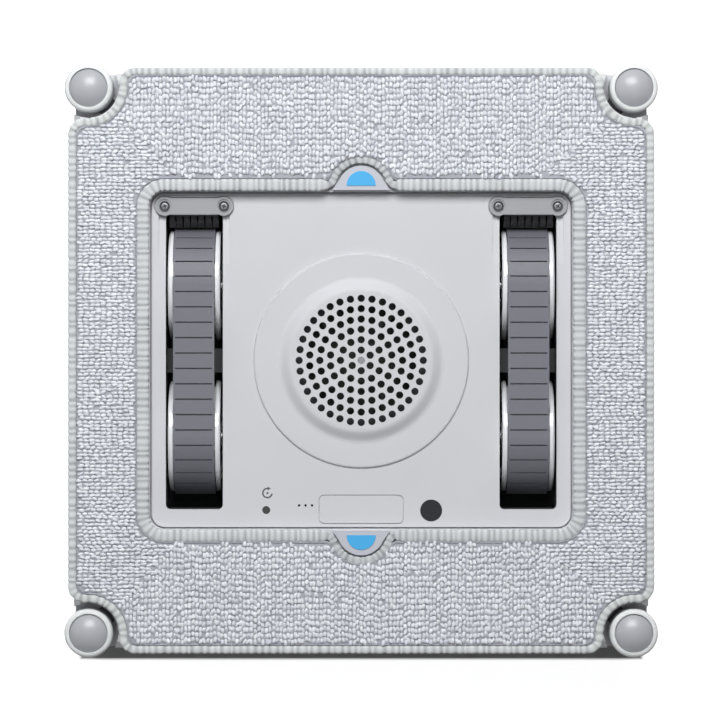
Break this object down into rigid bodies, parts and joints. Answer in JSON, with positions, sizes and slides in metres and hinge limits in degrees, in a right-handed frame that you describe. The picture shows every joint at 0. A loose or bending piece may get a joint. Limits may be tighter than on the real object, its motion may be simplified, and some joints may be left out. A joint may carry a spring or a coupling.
{
  "type": "window cleaning robot",
  "caption": "Square suction robot that drives over glass on two belt tracks, with a cloth cleaning ring, a perforated fan inlet and sprung corner rollers.",
  "frame": {"origin": "middle of the flat back face, with the robot lying on its back and its glass side up", "axes": "+Z out of the glass side, +Y towards the cord end, +X to the right seen from the glass side"},
  "size_m": [0.2442, 0.2442, 0.056],
  "materials": {
    "shell_light": "satin",
    "plate_light": "satin",
    "shell_white": "gloss",
    "inner_dark": "matte",
    "motor_steel": "satin",
    "seal_foam": "matte",
    "hook_tape": "matte",
    "pad_cloth": "matte",
    "blue_mark": "satin",
    "circuit_board": "satin",
    "inner_black": "matte",
    "battery_wrap": "gloss",
    "dark_window": "gloss",
    "label_blank": "satin",
    "screw_steel": "satin",
    "light_guide": "gloss",
    "bar_grey": "satin",
    "bristle_dark": "matte",
    "belt_rubber": "matte",
    "axle_steel": "satin",
    "spring_steel": "satin",
    "wheel_gloss": "gloss",
    "gear_white": "satin",
    "pinion_brass": "satin",
    "roller_light": "satin",
    "cap_grey": "satin"
  },
  "bodies": {
    "chassis": {"base_housing": "shell_light", "center_plate": "plate_light", "top_cover": "shell_white", "fan_cover": "plate_light", "fan_housing": "inner_dark", "fan_motor": "motor_steel", "fan_seal": "seal_foam", "hook_strips": "hook_tape", "cleaning_pad": "pad_cloth", "pad_tabs": "shell_light", "tab_marks": "blue_mark", "main_board": "circuit_board", "board_parts": "inner_black", "battery_pack": "battery_wrap", "buzzer": "inner_black", "sensor_window": "dark_window", "label_plate": "label_blank", "housing_screws": "screw_steel", "cord_inlet": "inner_black", "light_ring": "light_guide", "brush_bars": "bar_grey", "brush_tufts": "bristle_dark", "brush_screws": "screw_steel", "track_belt_left": "belt_rubber", "track_belt_right": "belt_rubber", "track_frame_left": "inner_dark", "track_frame_right": "inner_dark", "idler_axles": "axle_steel", "gear_covers": "inner_dark", "drive_motors": "motor_steel", "micro_switches": "inner_black", "bumper_springs": "spring_steel"},
    "drive_unit_left": {"drive_wheel_left": "wheel_gloss", "drive_axle_left": "axle_steel", "axle_gear_left": "gear_white"},
    "drive_unit_right": {"drive_wheel_right": "wheel_gloss", "drive_axle_right": "axle_steel", "axle_gear_right": "gear_white"},
    "idler_unit_left": {"idler_wheel_left": "wheel_gloss"},
    "idler_unit_right": {"idler_wheel_right": "wheel_gloss"},
    "reduction_left": {"compound_gear_left": "gear_white"},
    "reduction_right": {"compound_gear_right": "gear_white"},
    "pinion_left": {"motor_pinion_left": "pinion_brass"},
    "pinion_right": {"motor_pinion_right": "pinion_brass"},
    "fan_rotor": {"impeller": "inner_dark", "fan_shaft": "axle_steel"},
    "start_key": {"start_button": "shell_white"},
    "reset_key": {"reset_button": "inner_black"},
    "bumper_upper_left": {"bumper_arm_upper_left": "inner_dark", "roller_cap_upper_left": "cap_grey"},
    "roller_upper_left": {"corner_roller_upper_left": "roller_light"},
    "bumper_upper_right": {"bumper_arm_upper_right": "inner_dark", "roller_cap_upper_right": "cap_grey"},
    "roller_upper_right": {"corner_roller_upper_right": "roller_light"},
    "bumper_lower_left": {"bumper_arm_lower_left": "inner_dark", "roller_cap_lower_left": "cap_grey"},
    "roller_lower_left": {"corner_roller_lower_left": "roller_light"},
    "bumper_lower_right": {"bumper_arm_lower_right": "inner_dark", "roller_cap_lower_right": "cap_grey"},
    "roller_lower_right": {"corner_roller_lower_right": "roller_light"}
  },
  "joints": [
    {"name": "track_drive_left", "type": "hinge", "parent": "chassis", "child": "drive_unit_left", "pos_m": [-0.0687, -0.0314, 0.0318], "axis": [1, 0, 0], "continuous": true},
    {"name": "track_idler_left", "type": "hinge", "parent": "chassis", "child": "idler_unit_left", "pos_m": [-0.0687, 0.0314, 0.0318], "axis": [1, 0, 0], "continuous": true},
    {"name": "gear_reduction_left", "type": "hinge", "parent": "chassis", "child": "reduction_left", "pos_m": [-0.05153, -0.0474, 0.0318], "axis": [1, 0, 0], "continuous": true},
    {"name": "motor_pinion_spin_left", "type": "hinge", "parent": "chassis", "child": "pinion_left", "pos_m": [-0.04809, -0.0634, 0.0318], "axis": [1, 0, 0], "continuous": true},
    {"name": "track_drive_right", "type": "hinge", "parent": "chassis", "child": "drive_unit_right", "pos_m": [0.0687, -0.0314, 0.0318], "axis": [1, 0, 0], "continuous": true},
    {"name": "track_idler_right", "type": "hinge", "parent": "chassis", "child": "idler_unit_right", "pos_m": [0.0687, 0.0314, 0.0318], "axis": [1, 0, 0], "continuous": true},
    {"name": "gear_reduction_right", "type": "hinge", "parent": "chassis", "child": "reduction_right", "pos_m": [0.05153, -0.0474, 0.0318], "axis": [1, 0, 0], "continuous": true},
    {"name": "motor_pinion_spin_right", "type": "hinge", "parent": "chassis", "child": "pinion_right", "pos_m": [0.04809, -0.0634, 0.0318], "axis": [1, 0, 0], "continuous": true},
    {"name": "fan_spin", "type": "hinge", "parent": "chassis", "child": "fan_rotor", "pos_m": [0, 0, 0.03], "axis": [0, 0, 1], "continuous": true},
    {"name": "bumper_slide_upper_left", "type": "slide", "parent": "chassis", "child": "bumper_upper_left", "axis": [0.7071, -0.7071, 0], "range_m": [0, 0.002], "stiffness_N_per_m": 600, "deforming": ["bumper_springs"]},
    {"name": "roller_spin_upper_left", "type": "hinge", "parent": "bumper_upper_left", "child": "roller_upper_left", "pos_m": [-0.1121, 0.1121, 0.047], "axis": [0, 0, 1], "continuous": true},
    {"name": "bumper_slide_upper_right", "type": "slide", "parent": "chassis", "child": "bumper_upper_right", "axis": [-0.7071, -0.7071, 0], "range_m": [0, 0.002], "stiffness_N_per_m": 600, "deforming": ["bumper_springs"]},
    {"name": "roller_spin_upper_right", "type": "hinge", "parent": "bumper_upper_right", "child": "roller_upper_right", "pos_m": [0.1121, 0.1121, 0.047], "axis": [0, 0, 1], "continuous": true},
    {"name": "bumper_slide_lower_left", "type": "slide", "parent": "chassis", "child": "bumper_lower_left", "axis": [0.7071, 0.7071, 0], "range_m": [0, 0.002], "stiffness_N_per_m": 600, "deforming": ["bumper_springs"]},
    {"name": "roller_spin_lower_left", "type": "hinge", "parent": "bumper_lower_left", "child": "roller_lower_left", "pos_m": [-0.1121, -0.1121, 0.047], "axis": [0, 0, 1], "continuous": true},
    {"name": "bumper_slide_lower_right", "type": "slide", "parent": "chassis", "child": "bumper_lower_right", "axis": [-0.7071, 0.7071, 0], "range_m": [0, 0.002], "stiffness_N_per_m": 600, "deforming": ["bumper_springs"]},
    {"name": "roller_spin_lower_right", "type": "hinge", "parent": "bumper_lower_right", "child": "roller_lower_right", "pos_m": [0.1121, -0.1121, 0.047], "axis": [0, 0, 1], "continuous": true},
    {"name": "start_press", "type": "slide", "parent": "chassis", "child": "start_key", "axis": [0, 0, 1], "range_m": [0, 0.0008], "stiffness_N_per_m": 400},
    {"name": "reset_press", "type": "slide", "parent": "chassis", "child": "reset_key", "axis": [0, 0, -1], "range_m": [0, 0.0006], "stiffness_N_per_m": 300}
  ],
  "couplings": [
    {"joint": "track_idler_left", "follows": "track_drive_left", "ratio": 1},
    {"joint": "gear_reduction_left", "follows": "track_drive_left", "ratio": -3},
    {"joint": "motor_pinion_spin_left", "follows": "track_drive_left", "ratio": 9},
    {"joint": "track_idler_right", "follows": "track_drive_right", "ratio": 1},
    {"joint": "gear_reduction_right", "follows": "track_drive_right", "ratio": -3},
    {"joint": "motor_pinion_spin_right", "follows": "track_drive_right", "ratio": 9}
  ]
}
